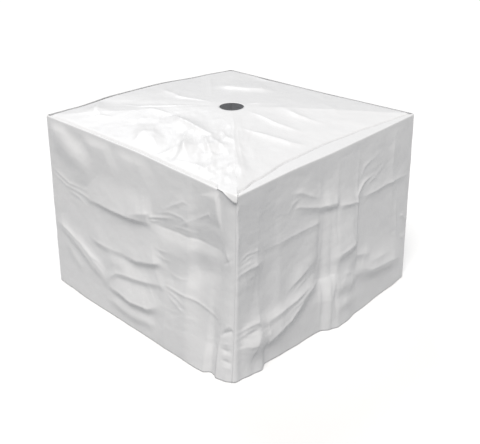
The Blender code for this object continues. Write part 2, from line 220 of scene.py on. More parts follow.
LEFT_SOFT = (
    Fold(70, 13, ((198, 407, 0), (266, 407, 6), (350, 411, 10), (452, 421, 14), (494, 423, 9),
                  (540, 431, 4), (554, 437, 0))),
    Fold(50, 24, ((440, 421, 0), (500, 449, 9), (536, 462, 9), (562, 466, 0))),
    Fold(46, 26, ((554, 433, 0), (612, 435, -7), (734, 445, -8), (866, 449, -6), (906, 451, 0))),
    Fold(56, 15, ((212, 258, 0), (282, 262, 6), (348, 260, 4), (410, 268, 6), (492, 272, 10),
                  (580, 302, 10), (612, 312, 0))),
    Fold(30, 24, ((0, 256, 0), (84, 238, 8), (162, 208, 9), (260, 158, 9), (308, 127, 5),
                  (326, 120, 0))),
    Fold(20, 20, ((30, 214, 0), (80, 178, 3), (140, 138, 3), (180, 116, 0))),
    Fold(26, 26, ((298, 187, 0), (354, 223, 7), (414, 223, 6), (454, 201, 0))),
    Fold(30, 13, ((312, 137, 0), (376, 179, 6), (444, 195, 7), (522, 209, 6), (612, 231, 3),
                  (628, 237, 0))),
    Fold(56, 19, ((308, 115, 0), (374, 113, 12), (458, 111, 17), (538, 119, 15), (592, 147, 4),
                  (610, 167, 0))),
    Fold(24, 22, ((312, 60, 0), (380, 58, 7), (460, 56, 8), (550, 60, 6), (584, 72, 0))),
    Fold(60, 70, ((654, 420, 0), (658, 360, 5), (652, 290, 6), (640, 235, 0))),
    Fold(64, 50, ((596, 248, 0), (650, 282, -12), (760, 340, -13), (858, 382, -7), (906, 396, 0))),
    Fold(70, 50, ((508, 634, 0), (554, 443, 1), (594, 306, 1), (618, 215, 3), (630, 62, 4),
                  (632, 0, 3))),
    Fold(50, 60, ((0, 632, 5), (88, 592, 14), (168, 553, 15), (210, 511, 9), (240, 479, 0))),
    Fold(26, 26, ((106, 642, 0), (150, 610, -6), (224, 582, -4), (270, 566, 0))),
    Fold(34, 70, ((206, 630, 0), (256, 602, 8), (316, 610, 6), (344, 632, 0))),
    Fold(34, 70, ((366, 632, 0), (422, 600, 6), (494, 602, 5), (528, 634, 0))),
    Fold(14, 50, ((830, 646, 0), (842, 632, 6), (848, 568, 5), (850, 525, 0))),
)

LEFT_CRISP = (
    Fold(8, 5, ((440, 423, 0), (500, 449, 2.6), (536, 462, 3), (558, 466, 0))),
    Fold(12, 4, ((208, 407, 0), (322, 411, 2.5), (452, 421, 3), (546, 431, 0))),
    Fold(6, 5, ((0, 466, 0), (78, 443, 2.8), (126, 433, 2.8), (234, 437, 0))),
    Fold(5, 5, ((0, 446, 0), (98, 421, 2.6), (214, 413, 2.2), (244, 409, 0))),
    Fold(6, 5, ((100, 404, 0), (166, 396, 2.6), (222, 370, 0))),
    Fold(5, 4, ((542, 449, 0), (558, 455, 4.5), (600, 469, 4), (666, 491, 0))),
    Fold(4, 4, ((544, 439, 0), (566, 443, 3), (606, 457, 0))),
    Fold(5, 5, ((598, 493, 0), (652, 529, 2.4), (704, 557, 2.6), (732, 555, 0))),
    Fold(5, 5, ((732, 503, 0), (774, 529, 2.6), (814, 557, 2.4), (828, 531, 0))),
    Fold(5, 5, ((738, 509, 0), (714, 489, 2.4), (686, 471, 0))),
    Fold(4, 4, ((560, 471, 0), (638, 503, 2), (698, 503, 1.6), (736, 489, 0))),
    Fold(4, 4, ((638, 449, 0), (696, 465, 2), (772, 467, 0))),
    Fold(4, 5, ((554, 435, 0), (614, 435, -2), (734, 445, -2.6), (878, 449, 0))),
    Fold(9, 5, ((220, 258, 0), (292, 264, 2.4), (372, 264, 2), (420, 272, 0))),
    Fold(9, 5, ((420, 272, 0), (492, 276, 2.6), (584, 304, 3), (606, 312, 0))),
    Fold(8, 6, ((0, 254, 0), (90, 248, 3), (168, 223, 2.4), (266, 171, 2.4), (316, 129, 0))),
    Fold(5, 5, ((146, 237, 0), (204, 211, 2.4), (268, 185, 2), (304, 167, 0))),
    Fold(5, 5, ((182, 213, 0), (234, 195, 2), (294, 185, 0))),
    Fold(8, 4, ((312, 135, 0), (380, 183, 3), (448, 199, 3), (524, 211, 2.6), (618, 233, 0))),
    Fold(8, 5, ((320, 113, 0), (380, 117, 2.4), (458, 111, 3), (552, 121, 2.4), (586, 143, 0))),
    Fold(5, 4, ((610, 235, 0), (656, 239, 3.4), (738, 239, 3.4), (816, 225, 2.4), (868, 197, 0))),
    Fold(4, 4, ((628, 217, 0), (670, 197, 2), (718, 187, 0))),
    Fold(4, 4, ((630, 225, 0), (678, 217, 2), (746, 193, 0))),
    Fold(4, 4, ((648, 203, 0), (702, 181, 2), (738, 177, 0))),
    Fold(5, 5, ((564, 366, 0), (604, 356, 2), (650, 364, 0))),
    Fold(4, 4, ((580, 342, 0), (620, 328, 2), (660, 334, 0))),
    Fold(4, 4, ((638, 290, 0), (702, 290, 1.6), (736, 300, 0))),
    Fold(10, 10, ((622, 229, 0), (630, 143, 1.6), (632, 0, 1))),
    Fold(8, 20, ((828, 646, 0), (848, 634, 4), (854, 582, 4), (852, 525, 0))),
    Fold(12, 5, ((854, 646, 0), (854, 622, -5), (860, 563, -4), (870, 517, 0))),
    Fold(8, 8, ((874, 471, 0), (892, 443, 3), (912, 396, 0))),
    Fold(6, 6, ((870, 400, 0), (894, 423, -3), (914, 439, 0))),
    Fold(14, 10, ((866, 143, 0), (868, 101, 4), (868, 36, 4), (866, 0, 3))),
    Fold(22, 26, ((842, 231, 0), (832, 165, -4), (828, 107, -4), (828, 62, 0))),
    Fold(8, 8, ((870, 153, 0), (890, 171, -6), (910, 183, -4), (916, 187, 0))),
    Fold(6, 6, ((868, 169, 0), (896, 195, 2), (912, 205, 0))),
    Fold(6, 6, ((876, 125, 0), (900, 133, 2), (916, 135, 0))),
    Fold(7, 9, ((876, 111, 0), (898, 107, -5), (916, 115, 0))),
    Fold(6, 6, ((880, 91, 0), (902, 97, 1.6), (918, 89, 0))),
    Fold(7, 9, ((880, 74, 0), (900, 72, -5), (918, 68, 0))),
    Fold(8, 6, ((886, 50, 0), (906, 54, 1.6), (918, 40, 0))),
)

FRONT_SOFT = (
    Fold(40, 14, ((50, 433, 0), (104, 431, 1), (240, 419, 1.6), (370, 427, 1.6), (392, 425, 0))),
    Fold(28, 60, ((0, 378, 0), (36, 388, 7), (86, 390, 7), (128, 376, 0))),
    Fold(36, 14, ((268, 517, 0), (312, 499, 2), (376, 477, 5), (412, 473, 10), (452, 469, 8),
                  (474, 467, 0))),
    Fold(36, 14, ((458, 463, 0), (492, 455, 5), (526, 449, 7), (568, 437, 5), (592, 427, 0))),
    Fold(30, 14, ((578, 449, 0), (656, 439, 2.5), (822, 439, 2.5), (906, 425, 0))),
    Fold(110, 26, ((436, 274, 0), (462, 277, 9), (506, 285, 12), (544, 293, 11), (574, 296, 0))),
    Fold(40, 40, ((352, 214, 0), (390, 208, -3), (436, 210, -3), (460, 212, 0))),
    Fold(26, 26, ((224, 231, 0), (288, 272, 6), (360, 308, 0))),
    Fold(70, 28, ((564, 187, 0), (598, 165, 8), (674, 141, 14), (814, 117, 12), (904, 91, 0))),
    Fold(24, 14, ((556, 241, 0), (586, 227, 4), (626, 217, 3), (668, 207, 0))),
    Fold(40, 30, ((448, 181, 0), (488, 165, 8), (540, 147, 9), (580, 129, 0))),
    Fold(26, 24, ((452, 74, 0), (504, 83, 6), (608, 54, 0))),
    Fold(26, 14, ((0, 172, 0), (52, 179, 4), (94, 181, 4), (136, 163, 4), (190, 173, 5),
                  (272, 189, 5), (334, 205, 3), (358, 213, 0))),
    Fold(64, 24, ((108, 99, 0), (142, 99, 12), (184, 109, 13), (242, 119, 12), (294, 151, 10),
                  (352, 198, 6), (388, 218, 0))),
    Fold(40, 50, ((0, 122, 0), (32, 118, 17), (78, 112, 18), (124, 81, 0))),
    Fold(90, 26, ((128, 400, 0), (128, 300, 2.5), (128, 200, 5), (128, 120, 8), (128, 86, 7),
                  (128, 50, 0))),
    Fold(10, 66, ((456, 244, 0), (446, 190, 6), (438, 123, 11), (444, 0, 2))),
    Fold(28, 50, ((360, 445, 0), (354, 388, 4), (348, 308, 5), (344, 246, 0))),
    Fold(10, 60, ((572, 443, 0), (566, 417, 6), (566, 320, 7), (560, 227, 5), (568, 189, 0))),
    Fold(30, 30, ((794, 636, 0), (790, 561, 4), (790, 423, 3), (792, 304, 0))),
)

FRONT_CRISP = (
    Fold(6, 5, ((16, 429, 0), (46, 441, 2.6), (94, 437, 2.2), (106, 429, 0))),
    Fold(5, 5, ((12, 413, 0), (56, 427, 2), (94, 423, 0))),
    Fold(8, 4, ((112, 423, 0), (234, 423, 1.8), (372, 429, 1.8), (388, 425, 0))),
    Fold(6, 4, ((262, 513, 0), (284, 515, 3), (308, 505, 3), (378, 479, 3), (448, 475, 2),
                (464, 467, 0))),
    Fold(9, 9, ((240, 572, 0), (294, 561, 4), (340, 535, 4), (390, 503, 0))),
    Fold(6, 6, ((224, 505, 0), (256, 537, 2), (298, 545, 0))),
    Fold(6, 4, ((462, 463, 0), (494, 457, 3), (568, 437, 3), (580, 429, 0))),
    Fold(6, 6, ((566, 435, 0), (576, 465, 5), (612, 493, 5), (692, 503, 0))),
    Fold(7, 7, ((588, 505, 0), (620, 551, 3), (704, 572, 0))),
    Fold(5, 5, ((622, 471, 0), (668, 487, 2), (716, 473, 0))),
    Fold(6, 4, ((590, 443, 0), (666, 439, 2.6), (822, 439, 2.4), (912, 425, 0))),
    Fold(7, 9, ((594, 640, 0), (578, 547, 2.6), (568, 445, 3), (566, 320, 2.6), (566, 203, 0))),
    Fold(8, 6, ((476, 644, 0), (472, 547, 1.6), (464, 453, -2.4), (458, 318, -2.6), (458, 244, 0))),
    Fold(8, 8, ((388, 646, 0), (382, 527, 1.6), (384, 435, -2), (382, 304, -2), (376, 235, 0))),
    Fold(9, 9, ((102, 646, 0), (94, 413, 1), (96, 193, 1), (94, 119, 0))),
    Fold(9, 9, ((796, 636, 0), (784, 543, 2.6), (790, 423, 2), (792, 244, 0))),
    Fold(6, 5, ((0, 378, 0), (36, 388, 2.6), (90, 390, 2.6), (108, 384, 0))),
    Fold(5, 5, ((0, 396, 0), (44, 409, 2), (96, 405, 0))),
    Fold(8, 5, ((444, 274, 0), (486, 284, 2.6), (548, 297, 2.6), (574, 299, 0))),
    Fold(80, 16, ((352, 214, 0), (390, 207, -5), (444, 211, -5), (462, 214, 0))),
    Fold(8, 8, ((218, 223, 0), (280, 260, 3), (356, 300, 0))),
    Fold(8, 8, ((238, 207, 0), (290, 233, 2.4), (360, 266, 0))),
    Fold(8, 5, ((568, 183, 0), (668, 147, 2.6), (806, 125, 2.6), (894, 95, 0))),
    Fold(7, 6, ((560, 242, 0), (584, 231, 3), (658, 209, 0))),
    Fold(9, 9, ((486, 203, 0), (510, 197, 3), (568, 175, 0))),
    Fold(9, 9, ((650, 183, 0), (720, 173, 3), (806, 165, 0))),
    Fold(7, 5, ((0, 174, 0), (48, 185, 3), (96, 183, 2.6), (98, 183, 0))),
    Fold(5, 5, ((0, 152, 0), (44, 167, 2.6), (96, 163, 0))),
    Fold(5, 4, ((110, 159, 0), (184, 175, 2), (272, 189, 2), (352, 209, 0))),
    Fold(7, 6, ((232, 153, 0), (290, 169, 3), (336, 191, 3), (380, 213, 0))),
    Fold(8, 5, ((128, 85, 0), (184, 109, 3), (242, 119, 3), (300, 163, 3), (378, 207, 0))),
    Fold(6, 6, ((0, 112, 0), (36, 121, 3), (98, 99, 0))),
    Fold(6, 8, ((390, 200, 0), (394, 163, 2), (390, 68, 2), (398, 0, 1))),
    Fold(5, 10, ((444, 219, 0), (426, 151, 2.4), (430, 52, 2), (434, 0, 1))),
    Fold(6, 7, ((824, 364, 0), (822, 326, 3.4), (832, 248, 3.6), (846, 185, 0))),
    Fold(7, 5, ((854, 282, 0), (872, 276, 4), (918, 237, 0))),
    Fold(6, 6, ((864, 199, 0), (882, 183, 3.6), (914, 187, 0))),
    Fold(6, 6, ((4, 549, 0), (12, 511, 2.6), (12, 445, 0))),
    Fold(5, 5, ((0, 630, 0), (10, 602, 2), (4, 568, 0))),
)

RIGHT_SOFT = (
    Fold(66, 26, ((30, 452, 0), (180, 430, 12), (420, 424, 16), (650, 438, 10), (880, 448, 0))),
    Fold(50, 32, ((60, 268, 0), (230, 236, 12), (470, 214, 15), (700, 240, 9), (860, 262, 0))),
    Fold(40, 40, ((250, 120, 0), (400, 92, 12), (560, 110, 12), (660, 150, 0))),
    Fold(70, 60, ((330, 640, 0), (320, 430, 5), (305, 60, 7), (300, 0, 6))),
    Fold(56, 70, ((640, 640, 0), (652, 330, 6), (664, 40, 6), (668, 0, 5))),
    Fold(36, 36, ((20, 640, 0), (120, 556, 9), (210, 490, 0))),
    Fold(36, 36, ((900, 640, 0), (820, 566, 9), (730, 510, 0))),
)

RIGHT_CRISP = (
    Fold(12, 6, ((60, 450, 0), (200, 430, 2.5), (420, 425, 3), (650, 438, 2), (860, 448, 0))),
    Fold(10, 7, ((80, 266, 0), (230, 237, 2.5), (470, 215, 2.5), (700, 240, 2), (850, 262, 0))),
    Fold(8, 8, ((260, 118, 0), (400, 93, 2.2), (560, 111, 2), (640, 146, 0))),
    Fold(10, 10, ((322, 640, 0), (318, 430, 1.8), (304, 60, 1.6), (302, 0, 0))),
    Fold(10, 10, ((642, 640, 0), (652, 330, 1.8), (664, 40, 1.6), (666, 0, 0))),
    Fold(5, 5, ((440, 440, 0), (500, 480, 1.8), (590, 502, 1.4), (660, 486, 0))),
)

BACK_SOFT = (
    Fold(60, 26, ((30, 446, 0), (240, 422, 13), (500, 430, 14), (740, 418, 12), (890, 440, 0))),
    Fold(46, 34, ((120, 250, 0), (330, 216, 13), (560, 230, 11), (820, 206, 0))),
    Fold(36, 44, ((380, 104, 0), (520, 84, 12), (680, 96, 11), (800, 140, 0))),
    Fold(60, 60, ((300, 640, 0), (310, 330, 6), (322, 20, 7), (323, 0, 6))),
    Fold(60, 54, ((610, 640, 0), (602, 330, 5), (590, 0, 6))),
    Fold(40, 36, ((20, 640, 0), (110, 570, 8), (190, 500, 0))),
)

BACK_CRISP = (
    Fold(12, 6, ((50, 444, 0), (240, 423, 2.6), (500, 431, 2.6), (740, 419, 2.2), (880, 439, 0))),
    Fold(10, 8, ((140, 247, 0), (330, 217, 2.4), (560, 231, 2.2), (810, 207, 0))),
    Fold(8, 8, ((390, 102, 0), (520, 85, 2.2), (680, 97, 2), (790, 136, 0))),
    Fold(10, 10, ((304, 640, 0), (310, 330, 1.8), (322, 20, 1.5), (323, 0, 0))),
    Fold(10, 10, ((608, 640, 0), (602, 330, 1.8), (590, 0, 1))),
    Fold(5, 5, ((200, 452, 0), (270, 490, 1.6), (350, 500, 1.4), (420, 478, 0))),
)

TOP_SOFT = (
    Fold(50, 60, ((-64, -64, 0), (-133, -134, 1), (-259, -274, 1.5), (-410, -436, 0))),
    Fold(24, 24, ((-260, -247, 0), (-317, -343, 5), (-362, -406, 0))),
    Fold(30, 30, ((-197, 102, 0), (-206, 39, 6), (-221, -57, 8), (-224, -142, 0))),
    Fold(34, 34, ((-288, 119, 0), (-346, 60, 5), (-399, 1, 0))),
    Fold(34, 34, ((-312, 74, 0), (-362, 4, 5), (-407, -77, 0))),
    Fold(30, 30, ((-251, -61, 0), (-328, -129, 8), (-404, -212, 0))),
    Fold(30, 30, ((-221, -107, 0), (-277, -187, 8), (-332, -262, 0))),
    Fold(40, 50, ((-236, 422, 0), (-318, 354, 6), (-360, 333, 0))),
    Fold(90, 34, ((190, 270, 0), (204, 203, 10), (268, 97, 9), (312, 70, 0))),
    Fold(120, 70, ((380, 350, 0), (404, 240, -6), (372, 100, 0))),
    Fold(24, 24, ((20, -56, 0), (17, -205, 2.5), (31, -327, 0))),
    Fold(24, 24, ((136, -88, 0), (119, -205, 2.5), (144, -331, 0))),
    Fold(24, 24, ((-98, -198, 0), (-68, -328, 2.5), (-31, -378, 0))),
    Fold(24, 24, ((-13, 85, 0), (-28, 244, 3), (23, 398, 0))),
)

TOP_CRISP = (
    Fold(8, 8, ((-10, 68, 0), (-41, 231, 4.4), (-15, 335, 4.4), (23, 398, 0))),
    Fold(8, 8, ((-57, 90, 0), (-138, 170, 4), (-200, 252, 4), (-228, 368, 0))),
    Fold(9, 9, ((42, 143, 0), (130, 240, 2.4), (262, 379, 2.4), (325, 426, 0))),
    Fold(9, 12, ((-205, 248, 0), (-197, 164, 6), (-184, 102, 0))),
    Fold(14, 9, ((-189, 102, 0), (-200, 60, 7), (-214, 8, 9), (-226, -60, 8), (-228, -153, 0))),
    Fold(16, 14, ((-309, 128, 0), (-345, 70, 5), (-393, 8, 0))),
    Fold(14, 12, ((-302, 74, 0), (-368, -3, 5), (-407, -69, 0))),
    Fold(12, 14, ((-342, 105, 0), (-384, 53, 5), (-420, 39, 0))),
    Fold(14, 12, ((-252, -30, 0), (-290, -62, 6), (-341, -120, 8), (-397, -213, 0))),
    Fold(12, 16, ((-240, -90, 0), (-262, -140, 8), (-300, -190, 8), (-330, -257, 0))),
    Fold(12, 10, ((-296, -77, 0), (-357, -137, 6), (-424, -174, 0))),
    Fold(12, 12, ((-212, -110, 0), (-246, -150, 5), (-256, -210, 5), (-290, -280, 0))),
    Fold(10, 10, ((-176, -116, 0), (-207, -183, 6), (-208, -239, 0))),
    Fold(10, 12, ((-428, -88, 0), (-382, -103, 6), (-339, -88, 0))),
    Fold(12, 10, ((-431, -261, 0), (-376, -277, 6), (-317, -259, 0))),
    Fold(10, 10, ((-390, -320, 0), (-345, -330, 5), (-300, -306, 0))),
    Fold(12, 10, ((-300, -150, 0), (-318, -190, -6), (-300, -232, -5), (-262, -244, 0))),
    Fold(8, 8, ((-54, -62, 0), (-124, -127, 1.4), (-259, -274, 1.4), (-393, -433, 0))),
    Fold(8, 8, ((-65, -80, 0), (-152, -179, 1), (-271, -310, 1.2), (-366, -426, 0))),
    Fold(9, 9, ((-117, -144, 0), (-94, -235, 5), (-73, -336, 5.5), (-31, -378, 0))),
    Fold(8, 8, ((8, -63, 0), (7, -210, 5), (30, -321, 0))),
    Fold(8, 8, ((135, -102, 0), (111, -211, 5), (143, -323, 0))),
    Fold(10, 10, ((185, 235, 0), (181, 193, 4), (224, 125, 4), (281, 93, 0))),
    Fold(14, 12, ((-360, 320, 0), (-330, 350, 7), (-271, 405, 6), (-240, 440, 0))),
    Fold(12, 12, ((-330, 250, 0), (-352, 300, 5), (-330, 352, 0))),
    Fold(9, 9, ((53, -7, 0), (90, -39, 4), (159, -61, 0))),
    Fold(8, 8, ((-411, -331, 0), (-398, -238, 5), (-415, -152, 0))),
    Fold(9, 9, ((210, -20, 0), (300, 10, 2.6), (388, -6, 0))),
    Fold(9, 9, ((220, -330, 0), (268, -240, 2.6), (300, -120, 0))),
)

LEFT_PATCHES = (
    Patch(720, 500, 90, 0.9, 90, 34, 18),
    Patch(230, 160, 90, 0.9, 110, 36, -20),
    Patch(700, 150, 70, 0.9, 80, 26, 12),
)

FRONT_PATCHES = (
    Patch(50, 400, 60, 0.9, 80, 24, 8),
    Patch(60, 150, 60, 1.1, 60, 20, -12),
    Patch(700, 500, 90, 0.8, 90, 30, 25),
    Patch(180, 520, 100, 0.7, 90, 40, 12),
)

RIGHT_PATCHES = (
    Patch(520, 470, 140, 2.0, 90, 32, 14),
    Patch(260, 160, 120, 2.2, 90, 30, -18),
)

BACK_PATCHES = (
    Patch(300, 480, 140, 2.0, 90, 32, 16),
    Patch(640, 170, 120, 2.2, 90, 30, -14),
)

TOP_PATCHES = (
    Patch(-300, -150, 150, 3.2, 110, 44, 40),
    Patch(-250, 60, 120, 2.4, 100, 40, 60),
    Patch(-400, -330, 90, 2.6, 60, 26, 30),
)

# A wall runs from its left-hand seam, seen from outside, and its cell is the size of its
# mesh's cells, in metres. Its tables are short rows of a distance along it and a size, in
# mm: how far the hem stands out, how far the wall laps on to the top, how far its top
# edge bows out and how far the edge is lifted.
Wall = namedtuple(
    "Wall", "name start end along outward cell hem lap bow lift soft crisp patches")

WALLS = (
    Wall("wall_left", "back_left", "front_left", (0, -1), (-1, 0), 0.0038,
         ((0, 24), (60, 27), (180, 34), (460, 39), (620, 40), (780, 46), (814, 44),
          (841, 26), (855, 28), (872, 34), (900, 32), (920, 26)),
         ((0, 1), (460, 4), (920, 1)),
         ((0, 0), (300, -9), (480, -13), (700, -6), (920, 0)),
         ((0, 0), (920, 0)), LEFT_SOFT, LEFT_CRISP, LEFT_PATCHES),
    Wall("wall_front", "front_left", "front_right", (1, 0), (0, -1), 0.0038,
         ((0, 26), (13, 15), (56, 23), (96, 30), (130, 13), (210, 17), (300, 21), (396, 23),
          (432, 43), (466, 57), (508, 56), (590, 44), (806, 32), (920, 22)),
         ((0, 1), (34, 7), (120, 24), (305, 48), (460, 58), (634, 45), (746, 30), (860, 15),
          (890, 8), (920, 1)),
         ((0, 0), (250, -4), (460, 3), (700, 2), (920, 0)),
         ((0, 0), (920, 0)), FRONT_SOFT, FRONT_CRISP, FRONT_PATCHES),
    Wall("wall_right", "front_right", "back_right", (0, 1), (1, 0), 0.0060,
         ((0, 22), (90, 28), (240, 34), (330, 46), (450, 38), (640, 45), (800, 34), (920, 22)),
         ((0, 1), (460, 5), (920, 1)),
         ((0, 0), (460, -5), (920, 0)),
         ((0, 0), (920, 0)), RIGHT_SOFT, RIGHT_CRISP, RIGHT_PATCHES),
    Wall("wall_back", "back_right", "back_left", (-1, 0), (0, 1), 0.0060,
         ((0, 22), (100, 27), (310, 44), (460, 36), (600, 43), (780, 30), (920, 24)),
         ((0, 1), (460, 5), (920, 1)),
         ((0, 0), (460, 6), (920, 0)),
         ((0, 0), (180, 6), (420, 15), (620, 13), (800, 2), (920, 0)),
         BACK_SOFT, BACK_CRISP, BACK_PATCHES),
)


class CoverSizes(bpy.types.PropertyGroup):
    """Sizes of the cloth and its creases."""

    thickness: FloatProperty(
        name="Cloth", description="Thickness of the coated cloth",
        default=0.0011, min=0.0004, max=0.003, unit="LENGTH")
    coarse: FloatProperty(
        name="Mesh", description="Distance between a sheet's points against its own",
        default=1.0, min=1.0, max=6.0)
    crisp: FloatProperty(
        name="Creases", description="Height of the crisp creases against the tables",
        default=1.0, min=0.0, max=2.0)
    puckers: FloatProperty(
        name="Puckers", description="Depth of the puckers against the tables",
        default=1.0, min=0.0, max=2.0)
    wander: FloatProperty(
        name="Wander", description="How far the folds stray from their tables' lines",
        default=0.007, min=0.0, max=0.03, unit="LENGTH")
    floor: FloatProperty(
        name="Floor", description="Width of the floor",
        default=60.0, min=5.0, max=200.0, unit="LENGTH")


class CoverColours(bpy.types.PropertyGroup):
    """Colours of the cloth and the stage."""

    cloth: FloatVectorProperty(
        name="Cloth", description="Colour of the coated cloth",
        subtype="COLOR", size=3, min=0, max=1, default=(0.86, 0.86, 0.865))
    shade: FloatVectorProperty(
        name="Shade", description="Colour of the faint mottling of the cloth",
        subtype="COLOR", size=3, min=0, max=1, default=(0.83, 0.83, 0.84))
    floor: FloatVectorProperty(
        name="Floor", description="Colour of the floor",
        subtype="COLOR", size=3, min=0, max=1, default=(0.99, 0.99, 0.99))
    sky: FloatVectorProperty(
        name="Studio", description="Colour of the light from all round",
        subtype="COLOR", size=3, min=0, max=1, default=(0.955, 0.975, 1.0))


def smooth(value):
    """Ease values that run from 0 to 1."""
    value = np.clip(value, 0.0, 1.0)
    return value * value * (3 - 2 * value)


def read_table(rows, along):
    """Sizes in metres at distances along a wall, from its short table in mm."""
    places = np.array([row[0] for row in rows]) * MM
    sizes = np.array([row[1] for row in rows]) * MM
    index = np.clip(np.searchsorted(places, along, side="right") - 1, 0, len(rows) - 2)
    share = smooth((along - places[index]) / (places[index + 1] - places[index]))
    return sizes[index] + (sizes[index + 1] - sizes[index]) * share


def gradient_noise(first, second, seed):
    """Smooth noise on a plane, about -0.7 to 0.7, with one cell to each unit."""
    cell1, cell2 = np.floor(first), np.floor(second)
    part1, part2 = first - cell1, second - cell2

    def slope(step1, step2):
        wave = np.sin((cell1 + step1) * CELL_WAVES[0] + (cell2 + step2) * CELL_WAVES[1]
                      + seed * SEED_WAVE)
        turn = 2 * math.pi * ((wave * WAVE_SCALE) % 1.0)
        return np.cos(turn) * (part1 - step1) + np.sin(turn) * (part2 - step2)

    ease1, ease2 = smooth(part1), smooth(part2)
    low = slope(0, 0) * (1 - ease1) + slope(1, 0) * ease1
    high = slope(0, 1) * (1 - ease1) + slope(1, 1) * ease1
    return low * (1 - ease2) + high * ease2


def fold_heights(folds, first, second, power):
    """Sum of folds at points given in mm. A power of 2 rounds them and 1 makes them crisp."""
    total = np.zeros_like(first)
    for fold in folds:
        nearest = np.full_like(first, np.inf)
        side = np.zeros_like(first)
        height = np.zeros_like(first)
        for (a1, a2, a_high), (b1, b2, b_high) in zip(fold.line, fold.line[1:]):
            run1, run2 = b1 - a1, b2 - a2
            off1, off2 = first - a1, second - a2
            share = np.clip((off1 * run1 + off2 * run2) / (run1 ** 2 + run2 ** 2), 0, 1)
            distance = np.hypot(off1 - share * run1, off2 - share * run2)
            closer = distance < nearest
            nearest = np.where(closer, distance, nearest)
            side = np.where(closer, run1 * off2 - run2 * off1, side)
            height = np.where(closer, a_high + (b_high - a_high) * share, height)
        width = np.where(side > 0, fold.above, fold.below)
        total += height * np.exp(-(nearest / width) ** power)
    return total * MM


def pucker_heights(patches, first, second, seed):
    """Small sharp-edged puckers in their patches, at points given in mm."""
    total = np.zeros_like(first)
    for number, patch in enumerate(patches):
        off1, off2 = first - patch.first, second - patch.second
        reach = np.exp(-(off1 ** 2 + off2 ** 2) / patch.reach ** 2)
        turn = math.radians(patch.turn)
        run = (off1 * math.cos(turn) + off2 * math.sin(turn)) / patch.long
        across = (off2 * math.cos(turn) - off1 * math.sin(turn)) / patch.wide
        coarse = np.abs(gradient_noise(run, across, seed + number))
        fine = np.abs(gradient_noise(
            run * PUCKER_FINER[0] + PUCKER_SHIFT[0], across * PUCKER_FINER[1] + PUCKER_SHIFT[1],
            seed + number + PUCKER_SEED_STEP))
        total += patch.depth * reach * (1 - PUCKER_CUTS[0] * coarse - PUCKER_CUTS[1] * fine)
    return total * MM


def panel_relief(soft, crisp, patches, first, second, seed, sizes):
    """A panel's main folds, and its creases with its puckers, at points given in metres."""
    cell1, cell2 = first / WANDER_CELL, second / WANDER_CELL
    stray1 = gradient_noise(cell1, cell2, seed) * sizes.wander
    stray2 = gradient_noise(cell1, cell2, seed + WANDER_SEED_STEP) * sizes.wander
    place1, place2 = (first + stray1) / MM, (second + stray2) / MM
    main = fold_heights(soft, place1, place2, SOFT_POWER)
    fine = fold_heights(crisp, place1, place2, CRISP_POWER) * sizes.crisp
    fine += pucker_heights(patches, place1, place2, seed) * sizes.puckers
    for ripple in RIPPLES:
        fine += ripple.height * gradient_noise(
            first / ripple.first, second / ripple.second, seed + ripple.seed_step)
    return main, fine


def corner_slip(wall, along):
    """Slip of the top edge at distances along a wall."""
    start = np.array(CORNERS[wall.start][:3]) * MM
    end = np.array(CORNERS[wall.end][:3]) * MM
    return start + (end - start) * (along / WIDTH)[:, None]


def bend(turn, radius, other_radius):
    """A wall's turn at a corner, its radius, and how far from the corner it starts."""
    turn = math.radians(turn)
    reach = radius * math.sin(turn) + other_radius * (1 - math.sin(turn))
    return turn, radius * MM, reach * MM


def bends(wall):
    """The bends of a wall at its start and at its end."""
    start, end = CORNERS[wall.start], CORNERS[wall.end]
    return (bend(90 - start.turn, start.start_radius, start.end_radius),
            bend(end.turn, end.end_radius, end.start_radius))


def plan(wall, along):
    """Points of the cover's square outline, and the directions out of it there."""
    (first_turn, first_radius, first_reach), (last_turn, last_radius, last_reach) = bends(wall)
    first, last = along < first_reach, along > WIDTH - last_reach
    angle = np.where(first, -first_turn * (1 - along / first_reach), 0.0)
    angle = np.where(last, last_turn * (1 - (WIDTH - along) / last_reach), angle)
    radius = np.where(first, first_radius, np.where(last, last_radius, 0.0))
    centre = np.clip(along, first_reach, WIDTH - last_reach)
    way = np.array([*wall.along, 0.0])
    outward = np.array([*wall.outward, 0.0])
    out = np.cos(angle)[:, None] * outward + np.sin(angle)[:, None] * way
    middle = (centre - HALF)[:, None] * way + (HALF - radius)[:, None] * outward
    return middle + out * radius[:, None], out


def upright(height):
    """Heights as steps along Z."""
    return height[:, None] * np.array([0.0, 0.0, 1.0])


def seam_points(wall, along):
    """Points of the wall's edge on the top, and the directions out of it."""
    point, out = plan(wall, along)
    inward = read_table(wall.bow, along) - TOP_EDGE - read_table(wall.lap, along)
    lift = read_table(wall.lift, along)
    return point + corner_slip(wall, along) + out * inward[:, None] + upright(lift), out


